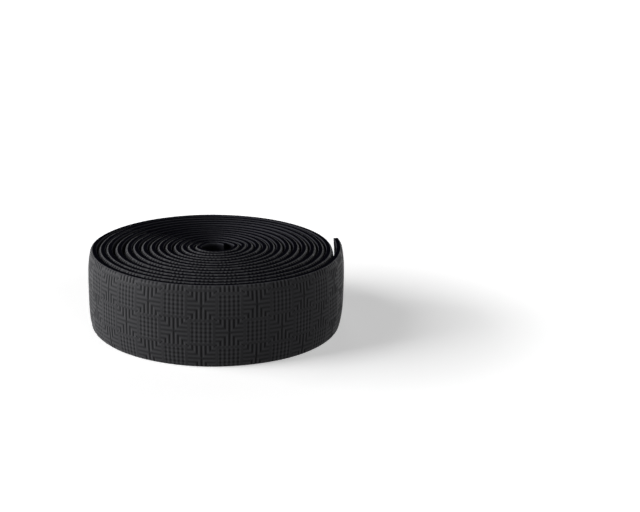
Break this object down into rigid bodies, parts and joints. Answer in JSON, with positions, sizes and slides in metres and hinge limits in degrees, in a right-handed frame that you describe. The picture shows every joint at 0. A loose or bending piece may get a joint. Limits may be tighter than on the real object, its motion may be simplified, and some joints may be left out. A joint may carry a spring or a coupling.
{
  "type": "handlebar tape roll",
  "caption": "Roll of cushioned, embossed bicycle handlebar tape: a strip wound on itself round an open hole, lying on its edge, with a free end that lifts slightly.",
  "frame": {"origin": "middle of the roll's footprint, on the surface that it rests on", "axes": "+Z along the winding's axis, upwards; the free end points to +X, turned 14 degrees towards +Y"},
  "size_m": [0.0972, 0.0948, 0.03],
  "materials": {
    "tape_foam": "matt black closed-cell foam with an embossed check on the grip face and a plain back"
  },
  "bodies": {
    "root": {"tape_strip": "tape_foam"}
  },
  "joints": []
}
